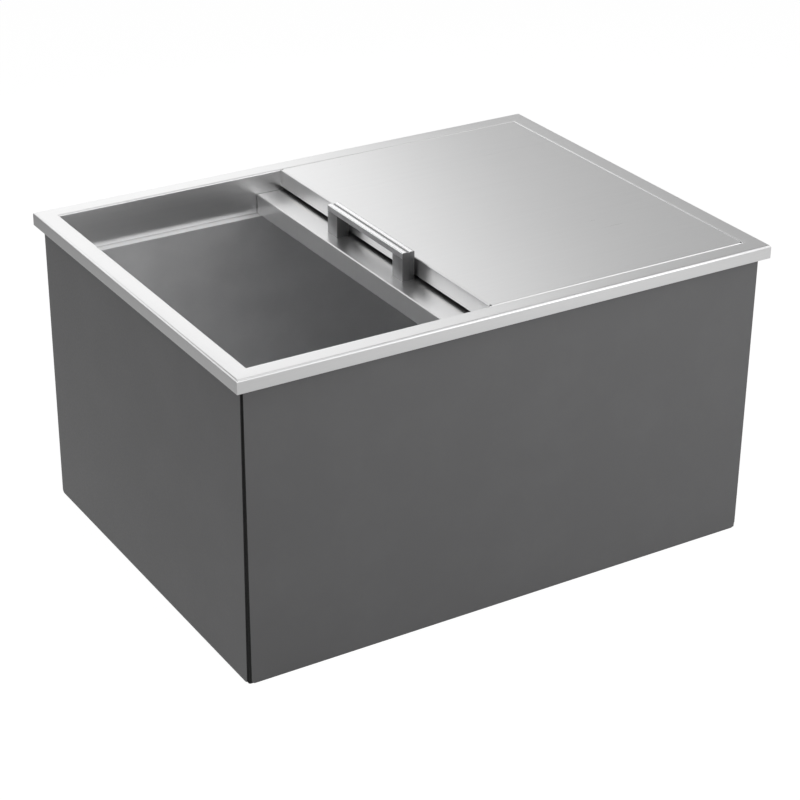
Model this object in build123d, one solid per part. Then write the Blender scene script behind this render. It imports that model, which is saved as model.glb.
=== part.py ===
from build123d import *
import os

# Drop-in ice bin with a sliding lid. Millimetres, +Z up, origin on the floor under the middle of the rim.
# X runs along the long side, the front faces -Y, and the lid stands open towards +X, under the fixed cover.

# Overall size, from the floor to the top of the rim
rim_length = 609.6
rim_width = 457.2
bin_height = 330.2

# Sheet gauges
steel_sheet = 1.0
panel_sheet = 1.0
rail_sheet = 1.5
pan_sheet = 0.8

# Top rim: a flat border, an apron folded down outside it and a lip folded down inside it to the foot of the lid
rim_border = 20.5
apron_depth = 14.2
apron_return = 5.5
rim_bend = 1.5

# Outer shell: four panels that stop short of each corner, over a recessed corner angle
body_inset = 7.5
seam_top_gap = 1.8
seam_foot_gap = 3.3
seam_recess = 1.7
panel_edge = 0.5
panel_foot_radius = 4.5
foot_return = 14.0
return_clearance = 0.5
angle_leg = 14.0
angle_bend = 1.6

# Base tray, set up inside the foot of the panels so that the drain has room under it
base_recess = 30.0
tray_flange = 18.0
tray_bend = 2.0

# Tank: a flange under the rim, straight walls and a floor that falls to a flat with a dished drain seat
tank_floor_height = 52.2
tank_bend = 1.5
tank_flange = 5.0
lip_gap = 1.0
floor_fall = 6.0
floor_flat = 96.0
dish_depth = 2.0
dish_margin = 3.0

# Fixed cover over the right-hand part of the opening
cover_length = 307.1
cover_flange = 19.0
cover_bend = 1.5
cover_relief_radius = 1.25

# Sliding lid: its top lies this far under the rim, and this much of it shows when it is open
lid_length = 300.0
lid_thickness = 22.0
lid_drop = 22.6
lid_reveal = 30.0
lid_side_clearance = 1.1
lid_bend = 1.4
pan_upstand = 9.0
pan_bend = 1.6

# Lid rails on the front and back walls of the tank
rail_leg = 12.0
rail_clearance = 0.3
rail_bend = 2.2
rail_end_gap = 2.0

# Lid handle: a bar with two crowned ridges on two posts
handle_length = 150.0
handle_width = 14.0
handle_gap = 2.5
post_length = 19.5
post_height = 24.6
bar_height = 6.5
bar_crown = 1.1
bar_groove_width = 1.6
bar_groove_depth = 0.7
bar_edge = 0.6
post_edge = 0.5

# Handle screws, put in from under the lid's top skin
screw_radius = 2.0
screw_hole_clearance = 0.2
thread_clearance = 0.05
screw_reach = 11.0
screw_head_radius = 4.0
screw_head_height = 2.6
washer_radius = 5.0
washer_thickness = 0.8
pocket_clearance = 1.5

# Drain fitting, placed from the left-hand end of the rim
drain_from_left = 150.0
drain_flange_radius = 31.0
drain_flange_thickness = 2.0
drain_body_radius = 21.0
drain_hole_clearance = 0.4
drain_body_wall = 2.0
drain_socket_depth = 4.0
seat_top_radius = 19.0
seat_foot_radius = 17.2
seat_depth = 12.6

# Tail screwed into the foot of the drain fitting, for a hose of standard size
drain_tail_radius = 16.62
tail_bore_radius = 12.7
tail_neck_radius = 15.5
tail_end_height = 4.0

# What clamps the drain fitting to the tank floor
gasket_radius = 29.0
gasket_thickness = 3.0
slip_washer_thickness = 1.2
nut_thickness = 5.5
nut_across_flats = 54.0
well_clearance = 1.0
tray_hole_clearance = 1.8

# Strainer on the shoulder inside the drain fitting
strainer_thickness = 1.5
strainer_clearance = 0.1
strainer_slot_width = 3.6
strainer_slot_pitch = 6.4
strainer_slots = 3
strainer_margin = 5.0

# Drain plug
plug_clearance = 0.3
plug_depth = 9.8
plug_brim = 2.6
plug_brim_thickness = 3.0
plug_stem_radius = 4.2
plug_stem_height = 7.0
plug_knob_radius = 9.0
plug_knob_height = 7.0

# Places and sizes that several pieces share
half_length = rim_length / 2
half_width = rim_width / 2
opening_length = rim_length - 2 * rim_border
opening_width = rim_width - 2 * rim_border
rim_underside = bin_height - steel_sheet
body_length = rim_length - 2 * body_inset
body_width = rim_width - 2 * body_inset
shell_length = body_length - 2 * panel_sheet
shell_width = body_width - 2 * panel_sheet
tank_length = opening_length + 2 * (steel_sheet + lip_gap)
tank_width = opening_width + 2 * (steel_sheet + lip_gap)
panel_top = rim_underside - steel_sheet
tank_underside = tank_floor_height - steel_sheet
wall_gap = (shell_width - tank_width) / 2 - steel_sheet
corner_room = seam_recess + angle_leg + return_clearance
tray_top = base_recess + panel_sheet
cover_right = half_length - rim_border
cover_left = cover_right - cover_length
lid_left = cover_left - lid_reveal
lid_width = opening_width - 2 * lid_side_clearance
lid_top = bin_height - lid_drop
lid_bottom = lid_top - lid_thickness
skin_underside = lid_top - steel_sheet
rail_top = lid_bottom - rail_clearance
handle_x = cover_left - handle_gap - handle_width / 2
post_y = (handle_length - post_length) / 2
drain_x = drain_from_left - half_length
dish_floor = tank_floor_height - floor_fall - dish_depth
dish_underside = dish_floor - steel_sheet
flange_top = dish_floor + drain_flange_thickness
seat_shoulder = flange_top - seat_depth
socket_top = seat_shoulder - drain_body_wall
drain_body_foot = socket_top - drain_socket_depth


def block(x0, x1, y0, y1, z0, z1):
    # A block between two corners
    return Pos((x0 + x1) / 2, (y0 + y1) / 2, (z0 + z1) / 2) * Box(x1 - x0, y1 - y0, z1 - z0)


def drum(x, y, z0, z1, radius):
    # An upright cylinder between two heights
    return Pos(x, y, (z0 + z1) / 2) * Cylinder(radius, z1 - z0)


def turned(points):
    # A piece turned about the drain's axis, from (radius, height) points
    outline = Polyline(*[(radius, 0, height) for radius, height in points], close=True)
    return Pos(drain_x, 0, 0) * revolve(make_face(outline), Axis.Z)


def folded_section(points, sheet, bend):
    # The section of a folded sheet, which lies to the right of the line through the points
    line = FilletPolyline(*points, radius=bend)
    return make_face(Wire(line.edges()).offset_2d(sheet, side=Side.RIGHT, closed=True))


def folded_pan(length, width, depth, sheet, bend):
    # A sheet with four edges folded down, its flat face at z = 0
    body = block(-length / 2, length / 2, -width / 2, width / 2, -depth, 0)
    body = fillet(body.edges().group_by(Axis.Z)[-1], bend)
    return offset(body, amount=-sheet, openings=body.faces().sort_by(Axis.Z)[0])


def notched_corners(length, width, z0, z1):
    # Four blocks that take the corners off a plate, where the corner angles stand
    cut = corner_room - panel_sheet
    blocks = []
    for side_x in (-1, 1):
        for side_y in (-1, 1):
            spot = Pos(side_x * (length - cut) / 2, side_y * (width - cut) / 2, (z0 + z1) / 2)
            blocks.append(spot * Box(cut, cut, z1 - z0))
    return blocks


def top_rim():
    # One folded section carried round the rectangle, with mitred corners
    outer = -half_length
    inner = outer + rim_border
    apron_foot = bin_height - apron_depth
    section = folded_section(
        [
            (outer + apron_return, 0, apron_foot),
            (outer, 0, apron_foot),
            (outer, 0, bin_height),
            (inner, 0, bin_height),
            (inner, 0, lid_bottom),
        ],
        steel_sheet,
        rim_bend,
    )
    route = Polyline(
        (outer, 0, bin_height),
        (outer, half_width, bin_height),
        (half_length, half_width, bin_height),
        (half_length, -half_width, bin_height),
        (outer, -half_width, bin_height),
        (outer, 0, bin_height),
    )
    return sweep(section, path=route, transition=Transition.RIGHT)


def hopper(length, width, top):
    # A solid with four flat slopes, from a rectangle down to the square flat round the drain
    foot = top - floor_fall
    half_flat = floor_flat / 2
    corners = [(-1, -1), (1, -1), (1, 1), (-1, 1)]
    mouth = [(side_x * length / 2, side_y * width / 2, top) for side_x, side_y in corners]
    flat = [(drain_x + side_x * half_flat, side_y * half_flat, foot) for side_x, side_y in corners]
    faces = [make_face(Polyline(*mouth, close=True)), make_face(Polyline(*flat, close=True))]
    for start in range(4):
        end = (start + 1) % 4
        slope = Polyline(mouth[start], mouth[end], flat[end], flat[start], close=True)
        faces.append(make_face(slope))
    return Solid(Shell(faces))


def tank_form(grow):
    # The tank as a solid: its inside, or its outside when it is grown by the sheet
    length = tank_length + 2 * grow
    width = tank_width + 2 * grow
    edge = tank_floor_height - grow
    foot = edge - floor_fall
    outline = fillet(Rectangle(length, width).vertices(), tank_bend + grow)
    column = Pos(0, 0, foot) * extrude(outline, rim_underside - foot)
    walls = block(-length / 2, length / 2, -width / 2, width / 2, edge, rim_underside)
    form = column & (walls + hopper(length, width, edge))
    dish_radius = drain_flange_radius + dish_margin + grow
    return form + drum(drain_x, 0, dish_floor - grow, edge - floor_fall / 2, dish_radius)


def tank():
    reach_x = tank_length / 2 + steel_sheet + tank_flange
    reach_y = tank_width / 2 + steel_sheet + tank_flange
    flange = block(-reach_x, reach_x, -reach_y, reach_y, rim_underside - steel_sheet, rim_underside)
    hole = drum(drain_x, 0, dish_underside, dish_floor, drain_body_radius + drain_hole_clearance)
    return tank_form(steel_sheet) + flange - tank_form(0) - hole


def fixed_cover():
    # A folded plate with a small relief hole where two bends meet
    plate = folded_pan(cover_length, opening_width, cover_flange, steel_sheet, cover_bend)
    plate = Pos((cover_left + cover_right) / 2, 0, bin_height) * plate
    for x in (cover_left + cover_bend, cover_right - cover_bend):
        for y in (-opening_width / 2 + cover_bend, opening_width / 2 - cover_bend):
            plate -= drum(x, y, bin_height - 2 * cover_bend, bin_height, cover_relief_radius)
    return plate


def lid_rail(side):
    # An angle along the wall, its upper leg under the edge of the lid
    wall = tank_width / 2
    section = folded_section(
        [(0, wall - rail_leg, rail_top), (0, wall, rail_top), (0, wall, rail_top - rail_leg)],
        rail_sheet,
        rail_bend,
    )
    length = tank_length - 2 * (tank_bend + rail_end_gap)
    rail = Pos(-length / 2, 0, 0) * extrude(section, length, dir=(1, 0, 0))
    return rail if side > 0 else Rot(0, 0, 180) * rail


def shell_panel(width):
    # A panel that faces -Y with its outside at y = 0: shallow lips all round, deeper returns top and foot
    half = width / 2
    outline = make_face(
        Polyline(
            (-half + seam_foot_gap, 0),
            (half - seam_foot_gap, 0),
            (half - seam_top_gap, panel_top),
            (-half + seam_top_gap, panel_top),
            close=True,
        )
    )
    outline = fillet(outline.vertices().group_by(Axis.Y)[0], panel_foot_radius)
    slab = extrude(Plane.XZ * outline, -seam_recess)
    slab = chamfer(slab.edges().group_by(Axis.Y)[0], panel_edge)
    hollow = extrude(Plane.XZ * offset(outline, -panel_sheet), panel_sheet - seam_recess)
    panel = slab - Pos(0, panel_sheet, 0) * hollow
    reach = half - corner_room
    top_return = panel_sheet + wall_gap - return_clearance
    panel += block(-reach, reach, panel_edge, foot_return, 0, panel_sheet)
    panel += block(-reach, reach, panel_edge, top_return, panel_top - panel_sheet, panel_top)
    return panel


def corner_angle():
    # An angle strip behind the gap between two panels, for the corner at -X -Y of the shell
    section = folded_section(
        [(seam_recess + angle_leg, seam_recess), (seam_recess, seam_recess), (seam_recess, seam_recess + angle_leg)],
        panel_sheet,
        angle_bend,
    )
    return extrude(section, panel_top)


def base_tray():
    tray = Pos(0, 0, tray_top) * folded_pan(shell_length, shell_width, tray_flange, panel_sheet, tray_bend)
    for corner in notched_corners(shell_length, shell_width, tray_top - tray_flange, tray_top):
        tray -= corner
    return tray - drum(drain_x, 0, base_recess, tray_top, drain_body_radius + tray_hole_clearance)


def base_insulation():
    # A board hollowed to the fall of the tank's floor, with a well for the dish and the drain nut
    board = block(-shell_length / 2, shell_length / 2, -shell_width / 2, shell_width / 2, tray_top, tank_underside)
    for corner in notched_corners(shell_length, shell_width, tray_top, tank_underside):
        board -= corner
    board -= hopper(tank_length + 2 * steel_sheet, tank_width + 2 * steel_sheet, tank_underside)
    well_radius = drain_flange_radius + dish_margin + steel_sheet + well_clearance
    return board - drum(drain_x, 0, tray_top, tank_underside, well_radius)


def wall_insulation(width):
    # A board for the gap behind a panel that faces -Y with its outside at y = 0
    reach = width / 2 - corner_room
    board_top = panel_top - panel_sheet
    return block(-reach, reach, panel_sheet, panel_sheet + wall_gap, tank_underside, board_top)


def lid_top_skin():
    skin = folded_pan(lid_length, lid_width, lid_thickness, steel_sheet, lid_bend)
    skin = Pos(lid_left + lid_length / 2, 0, lid_top) * skin
    for y in (-post_y, post_y):
        skin -= drum(handle_x, y, skin_underside, lid_top, screw_radius + screw_hole_clearance)
    return skin


def lid_underside_pan():
    # Its folded edges stand up inside those of the top skin
    length = lid_length - 2 * steel_sheet
    width = lid_width - 2 * steel_sheet
    pan = Rot(180, 0, 0) * folded_pan(length, width, pan_upstand, pan_sheet, pan_bend)
    return Pos(lid_left + lid_length / 2, 0, lid_bottom) * pan


def lid_insulation():
    # Fills the lid, stepped in where the pan's edges stand, with a pocket over each screw head
    x0 = lid_left + steel_sheet
    x1 = lid_left + lid_length - steel_sheet
    y1 = lid_width / 2 - steel_sheet
    upper = block(x0, x1, -y1, y1, lid_bottom + pan_upstand, skin_underside)
    upper = chamfer(upper.edges().group_by(Axis.Z)[-1], lid_bend - steel_sheet)
    foot = lid_bottom + pan_sheet
    step = pan_sheet
    lower = block(x0 + step, x1 - step, -y1 + step, y1 - step, foot, lid_bottom + pan_upstand)
    lower = chamfer(lower.edges().group_by(Axis.Z)[0], pan_bend - pan_sheet)
    core = upper + lower
    pocket_depth = washer_thickness + screw_head_height + pocket_clearance
    for y in (-post_y, post_y):
        core -= drum(handle_x, y, skin_underside - pocket_depth, skin_underside, washer_radius + pocket_clearance)
    return core


def handle_bar():
    # The section of the bar carried along its length: two crowned ridges with a groove between
    side = handle_width / 2
    groove = bar_groove_width / 2
    foot = lid_top + post_height
    crest = foot + bar_height
    shoulder = crest - bar_crown
    middle = (side + groove) / 2
    outline = [
        Line((-side, 0, foot), (-side, 0, shoulder)),
        ThreePointArc((-side, 0, shoulder), (-middle, 0, crest), (-groove, 0, shoulder)),
        Line((-groove, 0, shoulder), (-groove, 0, shoulder - bar_groove_depth)),
        Line((-groove, 0, shoulder - bar_groove_depth), (groove, 0, shoulder - bar_groove_depth)),
        Line((groove, 0, shoulder - bar_groove_depth), (groove, 0, shoulder)),
        ThreePointArc((groove, 0, shoulder), (middle, 0, crest), (side, 0, shoulder)),
        Line((side, 0, shoulder), (side, 0, foot)),
        Line((side, 0, foot), (-side, 0, foot)),
    ]
    section = Pos(handle_x, -handle_length / 2, 0) * make_face(outline)
    bar = extrude(section, handle_length, dir=(0, 1, 0))
    long_edges = bar.edges().filter_by(Axis.Y)
    return fillet([e for e in long_edges if abs(e.center().Z - shoulder) < 0.01], bar_edge / 2)


def handle_post(y):
    # A square post with a tapped hole for its screw
    x0 = handle_x - handle_width / 2
    foot_y = y - post_length / 2
    post = block(x0, x0 + handle_width, foot_y, foot_y + post_length, lid_top, lid_top + post_height)
    post = fillet(post.edges().filter_by(Axis.Z), post_edge)
    return post - drum(handle_x, y, lid_top, lid_top + screw_reach, screw_radius + thread_clearance)


def handle_screws():
    head_top = skin_underside - washer_thickness
    head_foot = head_top - screw_head_height
    screws = []
    for y in (-post_y, post_y):
        head = drum(handle_x, y, head_foot, head_top, screw_head_radius)
        screws.append(head + drum(handle_x, y, head_top, lid_top + screw_reach, screw_radius))
    return Compound(children=screws)


def handle_washers():
    rings = []
    for y in (-post_y, post_y):
        ring = drum(handle_x, y, skin_underside - washer_thickness, skin_underside, washer_radius)
        hole = drum(handle_x, y, skin_underside - washer_thickness, skin_underside, screw_radius + screw_hole_clearance)
        rings.append(ring - hole)
    return Compound(children=rings)


def drain_fitting():
    # Flange, tapered plug seat and clamped body in one turned piece, with a socket for the tail
    socket_radius = tail_neck_radius + thread_clearance
    return turned(
        [
            (seat_top_radius, flange_top),
            (drain_flange_radius, flange_top),
            (drain_flange_radius, dish_floor),
            (drain_body_radius, dish_floor),
            (drain_body_radius, drain_body_foot),
            (socket_radius, drain_body_foot),
            (socket_radius, socket_top),
            (tail_bore_radius, socket_top),
            (tail_bore_radius, seat_shoulder),
            (seat_foot_radius, seat_shoulder),
        ]
    )


def drain_tail():
    # A tube with a narrower neck up in the socket of the fitting
    return turned(
        [
            (tail_neck_radius, socket_top),
            (tail_neck_radius, drain_body_foot),
            (drain_tail_radius, drain_body_foot),
            (drain_tail_radius, tail_end_height),
            (tail_bore_radius, tail_end_height),
            (tail_bore_radius, socket_top),
        ]
    )


def drain_ring(top, thickness, outer_radius):
    # A flat ring on the body of the drain fitting
    ring = drum(drain_x, 0, top - thickness, top, outer_radius)
    return ring - drum(drain_x, 0, top - thickness, top, drain_body_radius + thread_clearance)


def drain_nut():
    nut_top = dish_underside - gasket_thickness - slip_washer_thickness
    hexagon = RegularPolygon(nut_across_flats / 2, 6, major_radius=False)
    nut = Pos(drain_x, 0, nut_top - nut_thickness) * extrude(hexagon, nut_thickness)
    return nut - drum(drain_x, 0, nut_top - nut_thickness, nut_top, drain_body_radius + thread_clearance)


def drain_strainer():
    # A round plate with a row of straight slots, each as long as the margin at the edge lets it be
    top = seat_shoulder + strainer_thickness
    radius = seat_foot_radius - strainer_clearance
    plate = drum(drain_x, 0, seat_shoulder, top, radius)
    for number in range(strainer_slots):
        middle = (number - (strainer_slots - 1) / 2) * strainer_slot_pitch
        far_side = abs(middle) + strainer_slot_width / 2
        reach = ((radius - strainer_margin) ** 2 - far_side**2) ** 0.5
        near = middle - strainer_slot_width / 2
        plate -= block(drain_x - reach, drain_x + reach, near, near + strainer_slot_width, seat_shoulder, top)
    return plate


def drain_plug():
    # Tapered body, brim over the flange, waisted stem and knob
    taper = (seat_top_radius - seat_foot_radius) / seat_depth
    top_radius = seat_top_radius - plug_clearance
    plug_foot = flange_top - plug_depth
    brim_foot = flange_top + plug_clearance
    brim_top = brim_foot + plug_brim_thickness
    stem_top = brim_top + plug_stem_height
    knob_top = stem_top + plug_knob_height
    return turned(
        [
            (0, plug_foot),
            (top_radius - taper * (brim_foot - plug_foot), plug_foot),
            (top_radius, brim_foot),
            (seat_top_radius + plug_brim, brim_foot),
            (seat_top_radius + plug_brim, brim_top),
            (plug_stem_radius, brim_top),
            (plug_stem_radius, stem_top),
            (plug_knob_radius, stem_top),
            (plug_knob_radius, knob_top),
            (0, knob_top),
        ]
    )


def build():
    gasket_top = dish_underside
    washer_top = gasket_top - gasket_thickness
    nodes = {
        "top_rim": top_rim(),
        "tank": tank(),
        "fixed_cover": fixed_cover(),
        "front_lid_rail": lid_rail(-1),
        "back_lid_rail": lid_rail(1),
        "base_tray": base_tray(),
        "base_insulation": base_insulation(),
        "lid_top_skin": lid_top_skin(),
        "lid_underside_pan": lid_underside_pan(),
        "lid_insulation": lid_insulation(),
        "handle_bar": handle_bar(),
        "front_handle_post": handle_post(-post_y),
        "back_handle_post": handle_post(post_y),
        "handle_screws": handle_screws(),
        "handle_washers": handle_washers(),
        "drain_fitting": drain_fitting(),
        "drain_tail": drain_tail(),
        "drain_gasket": drain_ring(gasket_top, gasket_thickness, gasket_radius),
        "drain_slip_washer": drain_ring(washer_top, slip_washer_thickness, gasket_radius),
        "drain_nut": drain_nut(),
        "drain_strainer": drain_strainer(),
        "drain_plug": drain_plug(),
    }
    # The four sides, each turned about the middle from one that faces -Y
    sides = {
        "front": (body_length, body_width, 0),
        "right": (body_width, body_length, 90),
        "back": (body_length, body_width, 180),
        "left": (body_width, body_length, 270),
    }
    for side, (width, across, turn) in sides.items():
        place = Rot(0, 0, turn) * Pos(0, -across / 2, 0)
        nodes[side + "_panel"] = place * shell_panel(width)
        nodes[side + "_insulation"] = place * wall_insulation(width)
    # The four corner angles, each turned from the one at -X -Y
    for turn, corner in enumerate(("front_left", "front_right", "back_right", "back_left")):
        spread = (body_length, body_width) if turn % 2 == 0 else (body_width, body_length)
        place = Rot(0, 0, 90 * turn) * Pos(-spread[0] / 2, -spread[1] / 2, 0)
        nodes[corner + "_corner_angle"] = place * corner_angle()
    return nodes


os.makedirs("parts", exist_ok=True)
for name, shape in build().items():
    export_step(shape, f"parts/{name}.step")
    print(name)
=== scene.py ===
import math

import bmesh
import bpy
from mathutils import Matrix, Vector


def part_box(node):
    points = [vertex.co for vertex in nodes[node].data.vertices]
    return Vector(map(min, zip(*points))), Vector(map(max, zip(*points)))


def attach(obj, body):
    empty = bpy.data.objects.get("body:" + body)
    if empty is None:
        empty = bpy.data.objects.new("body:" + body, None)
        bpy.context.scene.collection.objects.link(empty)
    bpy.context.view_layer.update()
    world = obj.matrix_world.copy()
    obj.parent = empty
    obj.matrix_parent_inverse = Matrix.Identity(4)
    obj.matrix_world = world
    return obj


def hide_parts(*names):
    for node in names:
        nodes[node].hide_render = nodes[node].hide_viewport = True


# Drop-in ice bin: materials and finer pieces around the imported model, in metres.

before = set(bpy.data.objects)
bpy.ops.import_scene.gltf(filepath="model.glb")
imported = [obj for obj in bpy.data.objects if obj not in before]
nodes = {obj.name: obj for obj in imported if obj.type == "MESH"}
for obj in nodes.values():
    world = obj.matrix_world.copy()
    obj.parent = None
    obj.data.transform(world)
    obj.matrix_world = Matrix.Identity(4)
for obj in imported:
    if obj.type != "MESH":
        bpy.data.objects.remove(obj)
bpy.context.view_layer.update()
print("frame loaded:", len(nodes), "nodes")


# Node helpers

def addNode(tree, kind, **settings):
    node = tree.nodes.new(kind)
    for key, value in settings.items():
        setattr(node, key, value)
    return node


def join(tree, fromNode, outName, toNode, inName):
    tree.links.new(fromNode.outputs[outName], toNode.inputs[inName])


def startMaterial(name, colour, metallic, roughness):
    material = bpy.data.materials.new(name)
    material.use_nodes = True
    material.diffuse_color = (*colour, 1.0)
    tree = material.node_tree
    shader = tree.nodes["Principled BSDF"]
    shader.inputs["Base Color"].default_value = (*colour, 1.0)
    shader.inputs["Metallic"].default_value = metallic
    shader.inputs["Roughness"].default_value = roughness
    return material, tree, shader


def placeCoords(tree, scale, shift=(0.0, 0.0, 0.0)):
    coords = addNode(tree, "ShaderNodeTexCoord")
    mapping = addNode(tree, "ShaderNodeMapping")
    mapping.inputs["Scale"].default_value = scale
    mapping.inputs["Location"].default_value = shift
    join(tree, coords, "Object", mapping, "Vector")
    return mapping


def noiseOn(tree, mapping, scale=1.0, detail=2.0, roughness=0.5):
    noise = addNode(tree, "ShaderNodeTexNoise")
    noise.inputs["Scale"].default_value = scale
    noise.inputs["Detail"].default_value = detail
    noise.inputs["Roughness"].default_value = roughness
    join(tree, mapping, "Vector", noise, "Vector")
    return noise


def rangeOf(tree, source, outName, low, high, fromLow=0.0, fromHigh=1.0):
    mapRange = addNode(tree, "ShaderNodeMapRange")
    mapRange.inputs["From Min"].default_value = fromLow
    mapRange.inputs["From Max"].default_value = fromHigh
    mapRange.inputs["To Min"].default_value = low
    mapRange.inputs["To Max"].default_value = high
    join(tree, source, outName, mapRange, "Value")
    return mapRange


def bumpFrom(tree, shader, source, outName, strength, distance):
    bump = addNode(tree, "ShaderNodeBump")
    bump.inputs["Strength"].default_value = strength
    bump.inputs["Distance"].default_value = distance
    join(tree, source, outName, bump, "Height")
    join(tree, bump, "Normal", shader, "Normal")


def colourBetween(tree, source, outName, dark, light, edges=(0.25, 0.75)):
    ramp = addNode(tree, "ShaderNodeValToRGB")
    for element, colour, edge in zip(ramp.color_ramp.elements, (dark, light), edges):
        element.color = (*colour, 1.0)
        element.position = edge
    join(tree, source, outName, ramp, "Fac")
    return ramp


def dress(nodeName, material):
    mesh = nodes[nodeName].data
    for index in range(len(mesh.materials)):
        mesh.materials[index] = material


# Materials

evenScale = (1.0, 1.0, 1.0)
middleBand = (0.3, 0.7)  # where most of a noise's values lie

steelLook = {
    "tint": (0.812, 0.812, 0.812),
    "shade": (0.766, 0.766, 0.769),
    "roughness": (0.26, 0.34),
    "grainAlong": 18.0,  # noise scales along the grain and across it
    "grainAcross": 1700.0,
    "grainDepth": 0.000006,
    "grainBump": 0.5,
    "broadScale": 0.12,
    "broadShare": 0.35,
    "cloudScale": 7.0,
    "smear": 0.03,
}


def brushedSteel(name, look=steelLook, along="X", folded="Z"):
    # Straight brush grain along one axis, which turns with the sheet on the faces folded down across it
    material, tree, shader = startMaterial(name, look["tint"], metallic=1.0, roughness=0.3)
    grains = []
    for axis in (along, folded):
        scale = [look["grainAcross"]] * 3
        scale["XYZ".index(axis)] = look["grainAlong"]
        fine = noiseOn(tree, placeCoords(tree, scale), detail=3.0, roughness=0.6)
        broad = noiseOn(tree, placeCoords(tree, [value * look["broadScale"] for value in scale]))
        grain = addNode(tree, "ShaderNodeMix", data_type="FLOAT")
        grain.inputs["Factor"].default_value = look["broadShare"]
        join(tree, fine, "Fac", grain, "A")
        join(tree, broad, "Fac", grain, "B")
        grains.append(grain)
    coords = addNode(tree, "ShaderNodeTexCoord")
    split = addNode(tree, "ShaderNodeSeparateXYZ")
    join(tree, coords, "Normal", split, "Vector")
    facing = addNode(tree, "ShaderNodeMath", operation="ABSOLUTE")
    join(tree, split, along, facing, 0)
    turned = addNode(tree, "ShaderNodeMath", operation="GREATER_THAN")
    turned.inputs[1].default_value = 0.7  # within 45 degrees of the axis
    join(tree, facing, "Value", turned, 0)
    blend = addNode(tree, "ShaderNodeMix", data_type="FLOAT")
    join(tree, turned, "Value", blend, "Factor")
    join(tree, grains[0], "Result", blend, "A")
    join(tree, grains[1], "Result", blend, "B")
    low, high = look["roughness"]
    rough = rangeOf(tree, blend, "Result", low, high, *middleBand)
    cloud = noiseOn(tree, placeCoords(tree, evenScale), look["cloudScale"], detail=3.0)
    smear = addNode(tree, "ShaderNodeMath", operation="MULTIPLY_ADD")  # faint wiping marks
    smear.inputs[1].default_value = look["smear"]
    join(tree, cloud, "Fac", smear, 0)
    join(tree, rough, "Result", smear, 2)
    join(tree, smear, "Value", shader, "Roughness")
    ramp = colourBetween(tree, blend, "Result", look["shade"], look["tint"])
    join(tree, ramp, "Color", shader, "Base Color")
    bumpFrom(tree, shader, blend, "Result", look["grainBump"], look["grainDepth"])
    return material


dullLook = {
    "tint": (0.93, 0.93, 0.935),
    "shade": (0.88, 0.88, 0.885),
    "roughness": (0.50, 0.60),
    "mottleScale": 38.0,
    "grainScale": (30.0, 900.0, 900.0),
    "grainBump": 0.3,
    "grainDepth": 0.00001,
}


def dullSteel(name, look=dullLook):
    # Rolled sheet with a faint mottle and handling marks
    material, tree, shader = startMaterial(name, look["tint"], metallic=1.0, roughness=0.4)
    mottle = noiseOn(tree, placeCoords(tree, evenScale), look["mottleScale"], detail=5.0, roughness=0.6)
    grain = noiseOn(tree, placeCoords(tree, look["grainScale"]))
    low, high = look["roughness"]
    join(tree, rangeOf(tree, mottle, "Fac", low, high, *middleBand), "Result", shader, "Roughness")
    ramp = colourBetween(tree, mottle, "Fac", look["shade"], look["tint"])
    join(tree, ramp, "Color", shader, "Base Color")
    bumpFrom(tree, shader, grain, "Fac", look["grainBump"], look["grainDepth"])
    return material


paintLook = {
    "colour": (0.118, 0.118, 0.120),
    "worn": (0.132, 0.132, 0.134),
    "roughness": (0.42, 0.50),
    "pebbleScale": 900.0,
    "pebbleSoftness": 0.7,
    "pebbleBump": 0.6,
    "pebbleDepth": 0.00016,
    "skinScale": 420.0,
    "skinShare": 0.5,
    "rubScale": 14.0,
    "rubEdges": (0.45, 0.95),
}


def texturedPaint(name, look=paintLook):
    # Powder coat with a pebbled skin, a little lighter where it is rubbed
    material, tree, shader = startMaterial(name, look["colour"], metallic=0.0, roughness=0.45)
    coords = placeCoords(tree, evenScale)
    pebble = addNode(tree, "ShaderNodeTexVoronoi", feature="SMOOTH_F1")
    pebble.inputs["Scale"].default_value = look["pebbleScale"]
    pebble.inputs["Smoothness"].default_value = look["pebbleSoftness"]
    join(tree, coords, "Vector", pebble, "Vector")
    skin = noiseOn(tree, coords, look["skinScale"], detail=3.0, roughness=0.6)
    mix = addNode(tree, "ShaderNodeMix", data_type="FLOAT")
    mix.inputs["Factor"].default_value = look["skinShare"]
    join(tree, pebble, "Distance", mix, "A")
    join(tree, skin, "Fac", mix, "B")
    rub = noiseOn(tree, coords, look["rubScale"], detail=4.0, roughness=0.65)
    ramp = colourBetween(tree, rub, "Fac", look["colour"], look["worn"], look["rubEdges"])
    join(tree, ramp, "Color", shader, "Base Color")
    low, high = look["roughness"]
    join(tree, rangeOf(tree, skin, "Fac", low, high, *middleBand), "Result", shader, "Roughness")
    bumpFrom(tree, shader, mix, "Result", look["pebbleBump"], look["pebbleDepth"])
    return material


foamLook = {
    "colour": (0.80, 0.74, 0.50),
    "shade": (0.70, 0.62, 0.38),
    "roughness": (0.78, 0.92),
    "cloudScale": 60.0,
    "cellScale": 900.0,
    "cellBump": 0.5,
    "cellDepth": 0.0003,
}


def foamBoard(name, look=foamLook):
    # Cut rigid foam with small cells
    material, tree, shader = startMaterial(name, look["colour"], metallic=0.0, roughness=0.85)
    coords = placeCoords(tree, evenScale)
    cells = addNode(tree, "ShaderNodeTexVoronoi", feature="F1")
    cells.inputs["Scale"].default_value = look["cellScale"]
    join(tree, coords, "Vector", cells, "Vector")
    cloud = noiseOn(tree, coords, look["cloudScale"], detail=4.0)
    ramp = colourBetween(tree, cloud, "Fac", look["shade"], look["colour"])
    join(tree, ramp, "Color", shader, "Base Color")
    join(tree, rangeOf(tree, cloud, "Fac", *look["roughness"]), "Result", shader, "Roughness")
    bumpFrom(tree, shader, cells, "Distance", look["cellBump"], look["cellDepth"])
    return material


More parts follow.
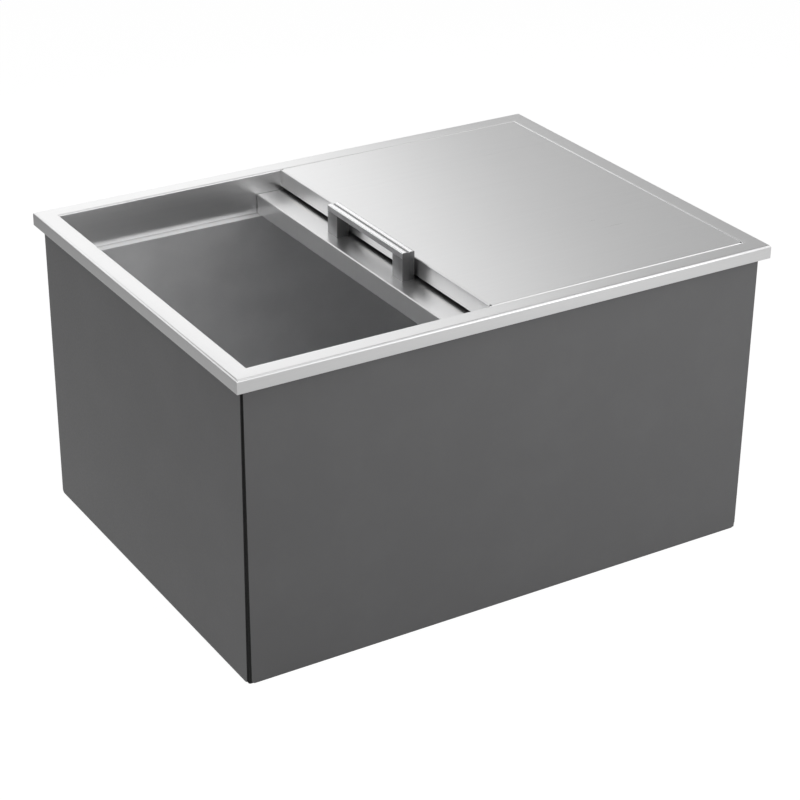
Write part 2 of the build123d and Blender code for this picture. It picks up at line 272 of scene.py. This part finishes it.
turnedLook = {
    "tint": (0.78, 0.78, 0.79),
    "shade": (0.68, 0.68, 0.69),
    "roughness": (0.10, 0.26),
    "wearScale": 260.0,
    "ringScale": 70.0,
    "ringDistortion": 0.4,
    "ringBump": 0.25,
    "ringDepth": 0.00001,
}


def turnedSteel(name, centre, look=turnedLook):
    # Polished by turning: fine rings about an upright axis
    material, tree, shader = startMaterial(name, look["tint"], metallic=1.0, roughness=0.16)
    mapping = placeCoords(tree, (1.0, 1.0, 0.0), shift=(-centre[0], -centre[1], 0.0))  # height left out
    rings = addNode(tree, "ShaderNodeTexWave", wave_type="RINGS", rings_direction="SPHERICAL")
    rings.inputs["Scale"].default_value = look["ringScale"]
    rings.inputs["Distortion"].default_value = look["ringDistortion"]
    join(tree, mapping, "Vector", rings, "Vector")
    wear = noiseOn(tree, placeCoords(tree, evenScale), look["wearScale"], detail=4.0, roughness=0.65)
    low, high = look["roughness"]
    join(tree, rangeOf(tree, wear, "Fac", low, high, *middleBand), "Result", shader, "Roughness")
    ramp = colourBetween(tree, wear, "Fac", look["shade"], look["tint"])
    join(tree, ramp, "Color", shader, "Base Color")
    bumpFrom(tree, shader, rings, "Fac", look["ringBump"], look["ringDepth"])
    return material


rubberLook = {
    "colour": (0.030, 0.030, 0.031),
    "bloom": (0.065, 0.064, 0.062),
    "roughness": (0.42, 0.62),
    "bloomScale": 90.0,
    "fineScale": 2600.0,
    "fineBump": 0.3,
    "fineDepth": 0.00004,
}


def blackRubber(name, look=rubberLook):
    # Moulded rubber with a faint bloom
    material, tree, shader = startMaterial(name, look["colour"], metallic=0.0, roughness=0.5)
    coords = placeCoords(tree, evenScale)
    bloom = noiseOn(tree, coords, look["bloomScale"], detail=5.0, roughness=0.6)
    fine = noiseOn(tree, coords, look["fineScale"])
    ramp = colourBetween(tree, bloom, "Fac", look["colour"], look["bloom"])
    join(tree, ramp, "Color", shader, "Base Color")
    low, high = look["roughness"]
    join(tree, rangeOf(tree, bloom, "Fac", low, high, *middleBand), "Result", shader, "Roughness")
    bumpFrom(tree, shader, fine, "Fac", look["fineBump"], look["fineDepth"])
    return material


nylonLook = {
    "plain": (0.80, 0.80, 0.77),
    "colour": (0.84, 0.84, 0.81),
    "shade": (0.74, 0.74, 0.70),
    "roughness": (0.40, 0.55),
    "cloudScale": 120.0,
    "cloudBump": 0.2,
    "cloudDepth": 0.00005,
}


def slipNylon(name, look=nylonLook):
    # White moulded nylon
    material, tree, shader = startMaterial(name, look["plain"], metallic=0.0, roughness=0.45)
    cloud = noiseOn(tree, placeCoords(tree, evenScale), look["cloudScale"], detail=3.0)
    ramp = colourBetween(tree, cloud, "Fac", look["shade"], look["colour"])
    join(tree, ramp, "Color", shader, "Base Color")
    join(tree, rangeOf(tree, cloud, "Fac", *look["roughness"]), "Result", shader, "Roughness")
    bumpFrom(tree, shader, cloud, "Fac", look["cloudBump"], look["cloudDepth"])
    return material


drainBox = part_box("drain_fitting")
drainCentre = [(drainBox[0][axis] + drainBox[1][axis]) / 2 for axis in range(2)]

# Near-black copy of the powder coat: painted shade for the corner gaps, on the corner angles and on the
# panel lips that face them
seamShadeLook = dict(
    paintLook,
    colour=(0.007, 0.007, 0.007),
    worn=(0.012, 0.012, 0.012),
    roughness=(0.7, 0.85),
)
barLook = dict(
    steelLook,
    tint=(0.86, 0.86, 0.865),
    shade=(0.82, 0.82, 0.825),
    roughness=(0.20, 0.24),
    grainAcross=300.0,
    grainDepth=0.0000002,
)
# Darker copies of the bar's steel: painted shade on the posts and in the bar's groove, and deeper painted
# shade on the faces that point along the bar
postPaintedShadeLook = dict(steelLook, tint=(0.40, 0.40, 0.405), shade=(0.30, 0.30, 0.305), roughness=(0.40, 0.50))
endPaintedShadeLook = dict(postPaintedShadeLook, tint=(0.17, 0.17, 0.172), shade=(0.11, 0.11, 0.112))
platedLook = dict(turnedLook, tint=(0.62, 0.62, 0.62))

rimMaterial = brushedSteel("rimBrushedSteel")
coverMaterial = brushedSteel("coverBrushedSteel")
lidMaterial = brushedSteel("lidBrushedSteel")
tankMaterial = dullSteel("tankRolledSteel")
paintMaterial = texturedPaint("panelPowderCoat")
seamShadeMaterial = texturedPaint("cornerSeamPaintedShade", seamShadeLook)
foamMaterial = foamBoard("insulationFoam")
barMaterial = brushedSteel("handleBarSteel", barLook, along="Y", folded="Z")
postPaintedShadeMaterial = brushedSteel("handlePostPaintedShade", postPaintedShadeLook, along="Z", folded="X")
endPaintedShadeMaterial = brushedSteel("handleEndPaintedShade", endPaintedShadeLook, along="Z", folded="X")
drainMaterial = turnedSteel("drainTurnedSteel", drainCentre)
fastenerMaterial = turnedSteel("fastenerPlating", drainCentre, platedLook)
rubberMaterial = blackRubber("blackRubber")
nylonMaterial = slipNylon("slipNylon")
print("materials made:", len(bpy.data.materials))

for nodeName in nodes:
    if nodeName.endswith("insulation"):
        dress(nodeName, foamMaterial)
    elif nodeName.endswith("panel") or nodeName == "base_tray":
        dress(nodeName, paintMaterial)
    # the corner angles take the painted seam shade
    elif nodeName.endswith("corner_angle"):
        dress(nodeName, seamShadeMaterial)
for nodeName in ("tank", "front_lid_rail", "back_lid_rail", "lid_underside_pan"):
    dress(nodeName, tankMaterial)
for nodeName in ("drain_fitting", "drain_tail", "drain_strainer"):
    dress(nodeName, drainMaterial)
for nodeName in ("drain_nut", "handle_screws", "handle_washers"):
    dress(nodeName, fastenerMaterial)
dress("fixed_cover", coverMaterial)
dress("lid_top_skin", lidMaterial)
dress("drain_gasket", rubberMaterial)
dress("drain_slip_washer", nylonMaterial)


# Mesh helpers

sharpAngle = 30.0  # edges that turn by more stay sharp, in degrees
flatAngle = 1.0  # faces that turn by less are one flat, in degrees
mergeReach = 0.000005
looseReach = 0.00001
cornerReach = 0.00002


def makeSection(mesh, points):
    # A flat face in the XZ plane from a few corners
    verts = [mesh.verts.new((x, 0.0, z)) for x, z in points]
    return mesh.faces.new(verts)


def roundCorners(mesh, corners, offset, segments):
    bmesh.ops.bevel(mesh, geom=corners, offset=offset, offset_type="OFFSET", affect="VERTICES",
                    segments=segments, profile=0.5, material=-1, clamp_overlap=True)


def cornersNear(mesh, places):
    found = []
    for x, z in places:
        spot = Vector((x, 0.0, z))
        found += [v for v in mesh.verts if (v.co - spot).length < cornerReach]
    return found


def finishPiece(mesh, name, material, bodyName, replaced):
    bmesh.ops.remove_doubles(mesh, verts=mesh.verts, dist=mergeReach)
    bmesh.ops.recalc_face_normals(mesh, faces=mesh.faces)
    data = bpy.data.meshes.new(name)
    mesh.to_mesh(data)
    mesh.free()
    for polygon in data.polygons:
        polygon.use_smooth = True
    data.set_sharp_from_angle(angle=math.radians(sharpAngle))
    data.materials.append(material)
    piece = bpy.data.objects.new(name, data)
    bpy.context.scene.collection.objects.link(piece)
    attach(piece, bodyName)
    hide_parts(*replaced)
    print("piece", name, len(data.polygons), "faces")
    return piece


def mergedCopy(nodeName):
    # A bmesh copy of a CAD node with its loose triangles joined into flat faces
    mesh = bmesh.new()
    mesh.from_mesh(nodes[nodeName].data)
    bmesh.ops.remove_doubles(mesh, verts=mesh.verts, dist=looseReach)
    bmesh.ops.dissolve_limit(mesh, angle_limit=math.radians(flatAngle), verts=mesh.verts, edges=mesh.edges)
    return mesh


# Shell panels, with their outer edges rolled round

panelSize = {
    "roll": 0.0002,
    "segments": 2,
    "edgeAngles": (0.6, 0.95),  # of the chamfers round the outside, in radians
    "lipFacing": 0.6,  # least share of the panel's length in the normal of a lip's face
}


def buildPanel(side, size=panelSize):
    mesh = mergedCopy(side + "_panel")
    least, most = size["edgeAngles"]
    rolled = [e for e in mesh.edges if len(e.link_faces) == 2 and least < e.calc_face_angle(0.0) < most]
    bmesh.ops.bevel(mesh, geom=rolled, offset=size["roll"], offset_type="OFFSET", affect="EDGES",
                    segments=size["segments"], profile=0.5, material=-1, clamp_overlap=True)
    panel = finishPiece(mesh, side + "Panel", paintMaterial, "bin", [side + "_panel"])
    panel.data.materials.append(seamShadeMaterial)  # the lips that face the corner gaps, which take the seam's painted shade
    across = 0 if side in ("front", "back") else 1
    for polygon in panel.data.polygons:
        if abs(polygon.normal[across]) > size["lipFacing"]:
            polygon.material_index = 1


for side in ("front", "right", "back", "left"):
    buildPanel(side)


# Top rim: one folded section, mitred at the corners

rimSize = {
    "border": 0.0205,
    "apron": 0.0142,
    "hem": 0.0055,
    "sheet": 0.001,
    "apronBend": 0.0024,
    "lipBend": 0.0020,
    "footBend": 0.0004,
    "bendSegments": 8,
    "footSegments": 3,
    "cornerRound": 0.0004,
    "cornerSegments": 3,
}


def buildRim(size=rimSize):
    low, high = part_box("top_rim")
    halfLength, halfWidth = high[0], high[1]
    top, lipFoot = high[2], low[2]
    apronFoot = top - size["apron"]
    sheet, bend, segments = size["sheet"], size["apronBend"], size["bendSegments"]
    outer = -halfWidth
    inner = outer + size["border"]
    corners = [
        (outer + size["hem"], apronFoot), (outer, apronFoot), (outer, top), (inner, top), (inner, lipFoot),
        (inner - sheet, lipFoot), (inner - sheet, top - sheet), (outer + sheet, top - sheet),
        (outer + sheet, apronFoot + sheet), (outer + size["hem"], apronFoot + sheet),
    ]
    mesh = bmesh.new()
    makeSection(mesh, corners)
    roundCorners(mesh, cornersNear(mesh, corners[1:2]), size["footBend"], size["footSegments"])
    roundCorners(mesh, cornersNear(mesh, corners[2:3]), bend, segments)
    roundCorners(mesh, cornersNear(mesh, corners[3:4]), size["lipBend"], segments)
    roundCorners(mesh, cornersNear(mesh, corners[7:8]), bend - sheet, segments)
    section = mesh.faces[:]
    shear = Matrix(((1, 0, 0, 0), (1, 1, 0, 0), (0, 0, 1, 0), (0, 0, 0, 1)))
    bmesh.ops.transform(mesh, matrix=shear, verts=mesh.verts)  # onto the mitre of a square rim
    ring = mesh.edges[:]
    bmesh.ops.delete(mesh, geom=section, context="FACES_ONLY")
    bmesh.ops.spin(mesh, geom=ring, cent=(0, 0, 0), axis=(0, 0, 1), angle=math.tau, steps=4, use_merge=True)
    stretch = halfLength - halfWidth
    for side in (-1, 1):
        half = [v for v in mesh.verts if v.co.x * side > 0]
        bmesh.ops.translate(mesh, verts=half, vec=(side * stretch, 0, 0))
    mitres = []
    mitreReach = bend * 1.05
    for edge in mesh.edges:
        places = [(halfLength - abs(v.co.x), halfWidth - abs(v.co.y)) for v in edge.verts]
        if all(abs(across - along) < looseReach and across < mitreReach for across, along in places):
            mitres.append(edge)
    footTop = apronFoot + size["footBend"] * 0.9
    outside = [e for e in mitres if all(v.co.z > footTop for v in e.verts)]
    bmesh.ops.bevel(mesh, geom=outside, offset=size["cornerRound"], offset_type="OFFSET", affect="EDGES",
                    segments=size["cornerSegments"], profile=0.5, material=-1, clamp_overlap=True)
    finishPiece(mesh, "topRim", rimMaterial, "bin", ["top_rim"])


buildRim()


# Lid handle: a bar with two crowned ridges on two square posts

handleSize = {
    "ridgeRound": 0.0011,
    "ridgeSegments": 5,
    "grooveWidth": 0.0022,
    "grooveDepth": 0.0009,
    "postEdge": 0.0005,
    "postSegments": 3,
}
endFacing = 0.9  # least share of Y in the normal of a face that counts as an end


def buildHandleBar(size=handleSize):
    low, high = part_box("handle_bar")
    middle = (low[0] + high[0]) / 2
    half = (high[0] - low[0]) / 2
    groove = size["grooveWidth"] / 2
    corners = [
        (-half, low[2]), (-half, high[2]), (-groove, high[2]), (-groove, high[2] - size["grooveDepth"]),
        (groove, high[2] - size["grooveDepth"]), (groove, high[2]), (half, high[2]), (half, low[2]),
    ]
    mesh = bmesh.new()
    makeSection(mesh, corners)
    for place in (corners[1], corners[2], corners[5], corners[6]):
        roundCorners(mesh, cornersNear(mesh, [place]), size["ridgeRound"], size["ridgeSegments"])
    extruded = bmesh.ops.extrude_face_region(mesh, geom=mesh.faces[:])
    moved = [v for v in extruded["geom"] if isinstance(v, bmesh.types.BMVert)]
    bmesh.ops.translate(mesh, verts=moved, vec=(0, high[1] - low[1], 0))
    bmesh.ops.translate(mesh, verts=mesh.verts, vec=(middle, low[1], 0))
    bar = finishPiece(mesh, "handleBar", barMaterial, "sliding_lid", ["handle_bar"])
    # the end faces take the deeper painted shade, the groove the posts' painted shade
    bar.data.materials.append(endPaintedShadeMaterial)
    bar.data.materials.append(postPaintedShadeMaterial)
    grooveReach = groove * 1.2
    grooveFoot = high[2] - size["grooveDepth"] * 1.1
    for polygon in bar.data.polygons:
        centre = polygon.center
        if abs(polygon.normal.y) > endFacing:
            polygon.material_index = 1
        elif abs(centre.x - middle) < grooveReach and centre.z > grooveFoot:
            polygon.material_index = 2


def buildHandlePost(nodeName, pieceName, size=handleSize):
    low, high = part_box(nodeName)
    mesh = bmesh.new()
    bmesh.ops.create_cube(mesh, size=1.0)
    span = [high[axis] - low[axis] for axis in range(3)]
    centre = [(high[axis] + low[axis]) / 2 for axis in range(3)]
    bmesh.ops.scale(mesh, verts=mesh.verts, vec=span)
    bmesh.ops.translate(mesh, verts=mesh.verts, vec=centre)
    upright = [e for e in mesh.edges if abs(e.verts[0].co.z - e.verts[1].co.z) > 0.001]
    bmesh.ops.bevel(mesh, geom=upright, offset=size["postEdge"], offset_type="OFFSET", affect="EDGES",
                    segments=size["postSegments"], profile=0.5, material=-1, clamp_overlap=True)
    post = finishPiece(mesh, pieceName, postPaintedShadeMaterial, "sliding_lid", [nodeName])
    # faces that point along the bar take the deeper painted shade
    post.data.materials.append(endPaintedShadeMaterial)
    for polygon in post.data.polygons:
        if abs(polygon.normal.y) > endFacing:
            polygon.material_index = 1


buildHandleBar()
buildHandlePost("front_handle_post", "frontHandlePost")
buildHandlePost("back_handle_post", "backHandlePost")


# Drain plug: a turned rubber plug with soft edges

plugSize = {
    "taperFoot": 0.0173,
    "seatRadius": 0.0187,
    "seatTop": 0.0465,
    "brimRadius": 0.0216,
    "brimTop": 0.0495,
    "stemRadius": 0.0042,
    "stemTop": 0.0565,
    "knobRadius": 0.009,
    "edge": 0.0012,
    "edgeSegments": 5,
    "filletShare": 1.4,  # of the edge, where the stem meets the brim and the knob
    "footShare": 0.7,
    "footSegments": 3,
    "steps": 64,
}


def buildPlug(size=plugSize):
    low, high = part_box("drain_plug")
    corners = [
        (0.0, low[2]), (size["taperFoot"], low[2]), (size["seatRadius"], size["seatTop"]),
        (size["brimRadius"], size["seatTop"]), (size["brimRadius"], size["brimTop"]),
        (size["stemRadius"], size["brimTop"]), (size["stemRadius"], size["stemTop"]),
        (size["knobRadius"], size["stemTop"]), (size["knobRadius"], high[2]), (0.0, high[2]),
    ]
    edge, segments = size["edge"], size["edgeSegments"]
    mesh = bmesh.new()
    makeSection(mesh, corners)
    roundCorners(mesh, cornersNear(mesh, corners[3:5] + corners[7:9]), edge, segments)
    roundCorners(mesh, cornersNear(mesh, corners[5:7]), edge * size["filletShare"], segments)
    roundCorners(mesh, cornersNear(mesh, corners[1:2]), edge * size["footShare"], size["footSegments"])
    bmesh.ops.delete(mesh, geom=mesh.faces[:], context="FACES_ONLY")
    axisEdges = [e for e in mesh.edges if all(v.co.x < 0.000001 for v in e.verts)]
    bmesh.ops.delete(mesh, geom=axisEdges, context="EDGES")
    bmesh.ops.spin(mesh, geom=mesh.verts[:] + mesh.edges[:], cent=(0, 0, 0), axis=(0, 0, 1), angle=math.tau,
                   steps=size["steps"], use_merge=True)
    bmesh.ops.translate(mesh, verts=mesh.verts, vec=(*drainCentre, 0))
    finishPiece(mesh, "drainPlug", rubberMaterial, "plug", ["drain_plug"])


buildPlug()


# Stage, lamps and camera

studio = {
    "floorSize": 16.0,
    "floorColour": (0.60, 0.60, 0.60),
    "floorWhite": 0.84,  # share of the glow in what the camera sees; the rest takes the shadow
    "floorGlow": 1.14,
    "floorBright": (0.80, 0.22, 2.9),  # strength of the painted pool of light at its bright spot, far from it, and metres between
    "floorBrightSpot": (0.75, -0.95, 0.0),
    "worldLow": 0.57,  # strength low down and high up, and the rise between which it changes
    "worldHigh": 0.04,
    "worldEdge": (0.44, 0.60),
    "worldDarkSide": (-0.52, -0.85, 0.0),
    "worldDarkShare": 0.70,
    "worldDarkEdges": (0.2, 0.8),
    # name, place, target, width, height, roll in degrees, power in watts
    "lamps": (
        ("backLamp", (0.65, 1.50, 1.575), (0.65, 0.0, 1.575), 1.2, 2.56, 38.7, 7.2),
        ("topLamp", (-0.30, 0.00, 2.30), (-0.20, 0.0, 0.2), 2.3, 2.0, 0.0, 15.0),
        ("rightLamp", (1.25, -0.35, 1.70), (0.1, 0.0, 0.3), 1.3, 1.4, 0.0, 6.2),
        ("frontLamp", (0.32, -1.05, 0.72), (0.18, -0.2, 0.2), 1.7, 1.1, 0.0, 6.3),
        ("frontRightLamp", (1.15, -1.55, 0.65), (0.15, -0.2, 0.2), 1.1, 1.0, 0.0, 2.4),
        ("leftLamp", (-1.65, -0.10, 1.02), (-0.3, 0.0, 0.25), 2.2, 1.8, 0.0, 11.2),
        ("backLeftLamp", (-1.05, 1.70, 1.35), (-0.05, 0.0, 0.33), 1.4, 1.0, 0.0, 4.0),
    ),
}


def buildFloor(look=studio):
    mesh = bmesh.new()
    bmesh.ops.create_grid(mesh, x_segments=4, y_segments=4, size=look["floorSize"] / 2)
    data = bpy.data.meshes.new("floor")
    mesh.to_mesh(data)
    mesh.free()
    floor = bpy.data.objects.new("floor", data)
    bpy.context.scene.collection.objects.link(floor)
    material, tree, shader = startMaterial("floorPaper", look["floorColour"], metallic=0.0, roughness=0.9)
    shader.inputs["Specular IOR Level"].default_value = 0.0
    white = addNode(tree, "ShaderNodeEmission")
    white.inputs["Strength"].default_value = look["floorGlow"]
    paintedLightPool = addNode(tree, "ShaderNodeEmission")  # what metal mirrors: a painted pool of light, darker away from the bright spot
    near, far, reach = look["floorBright"]
    coords = addNode(tree, "ShaderNodeTexCoord")
    distance = addNode(tree, "ShaderNodeVectorMath", operation="DISTANCE")
    distance.inputs[1].default_value = look["floorBrightSpot"]
    join(tree, coords, "Object", distance, 0)
    join(tree, rangeOf(tree, distance, "Value", near, far, 0.0, reach), "Result", paintedLightPool, "Strength")
    path = addNode(tree, "ShaderNodeLightPath")
    share = addNode(tree, "ShaderNodeMath", operation="MULTIPLY")
    share.inputs[1].default_value = look["floorWhite"]
    join(tree, path, "Is Camera Ray", share, 0)
    mixWhite = addNode(tree, "ShaderNodeMixShader")
    join(tree, share, "Value", mixWhite, "Fac")
    tree.links.new(shader.outputs[0], mixWhite.inputs[1])
    tree.links.new(white.outputs[0], mixWhite.inputs[2])
    mirrored = addNode(tree, "ShaderNodeMath", operation="MAXIMUM")
    join(tree, path, "Is Glossy Ray", mirrored, 0)
    join(tree, path, "Is Transmission Ray", mirrored, 1)
    mixPale = addNode(tree, "ShaderNodeMixShader")
    join(tree, mirrored, "Value", mixPale, "Fac")
    tree.links.new(mixWhite.outputs[0], mixPale.inputs[1])
    tree.links.new(paintedLightPool.outputs[0], mixPale.inputs[2])
    join(tree, mixPale, "Shader", tree.nodes["Material Output"], "Surface")
    data.materials.append(material)


def buildWorld(look=studio):
    world = bpy.data.worlds.new("studioWorld")
    bpy.context.scene.world = world
    world.use_nodes = True
    tree = world.node_tree
    background = tree.nodes["Background"]
    coords = addNode(tree, "ShaderNodeTexCoord")
    split = addNode(tree, "ShaderNodeSeparateXYZ")
    join(tree, coords, "Generated", split, "Vector")
    glow = rangeOf(tree, split, "Z", look["worldLow"], look["worldHigh"], *look["worldEdge"])
    towards = addNode(tree, "ShaderNodeVectorMath", operation="DOT_PRODUCT")
    towards.inputs[1].default_value = look["worldDarkSide"]
    join(tree, coords, "Generated", towards, 0)
    shade = rangeOf(tree, towards, "Value", 1.0, 1.0 - look["worldDarkShare"], *look["worldDarkEdges"])
    product = addNode(tree, "ShaderNodeMath", operation="MULTIPLY")
    join(tree, glow, "Result", product, 0)
    join(tree, shade, "Result", product, 1)
    path = addNode(tree, "ShaderNodeLightPath")
    strength = addNode(tree, "ShaderNodeMath", operation="MAXIMUM")
    join(tree, path, "Is Camera Ray", strength, 0)
    join(tree, product, "Value", strength, 1)
    join(tree, strength, "Value", background, "Strength")
    background.inputs["Color"].default_value = (1.0, 1.0, 1.0, 1.0)


def buildLamps(look=studio):
    for name, place, target, width, height, roll, power in look["lamps"]:
        light = bpy.data.lights.new(name, "AREA")
        light.shape = "RECTANGLE"
        light.size = width
        light.size_y = height
        light.energy = power
        lamp = bpy.data.objects.new(name, light)
        direction = Vector(target) - Vector(place)
        turn = direction.to_track_quat("-Z", "Y").to_matrix() @ Matrix.Rotation(math.radians(roll), 3, "Z")
        lamp.matrix_world = Matrix.Translation(place) @ turn.to_4x4()
        bpy.context.scene.collection.objects.link(lamp)


cameraFit = {
    "place": (-1.107285, -1.812750, 1.212329),
    "right": (0.854301, -0.519722, 0.007722),
    "down": (-0.229587, -0.390633, -0.891457),
    "forward": (0.466326, 0.759800, -0.453039),
    "lens": 100.531,
    "sensor": 36.0,
    "reach": 50.0,
}


def buildCamera(fit=cameraFit):
    data = bpy.data.cameras.new("photoCamera")
    data.sensor_width = fit["sensor"]
    data.lens = fit["lens"]
    data.clip_end = fit["reach"]
    camera = bpy.data.objects.new("photoCamera", data)
    turn = Matrix((fit["right"], -Vector(fit["down"]), -Vector(fit["forward"]))).transposed()
    camera.matrix_world = Matrix.Translation(fit["place"]) @ turn.to_4x4()
    bpy.context.scene.collection.objects.link(camera)
    bpy.context.scene.camera = camera


buildFloor()
buildWorld()
buildLamps()
buildCamera()
bpy.context.scene.view_settings.view_transform = "Standard"
print("stage, lamps and camera set")
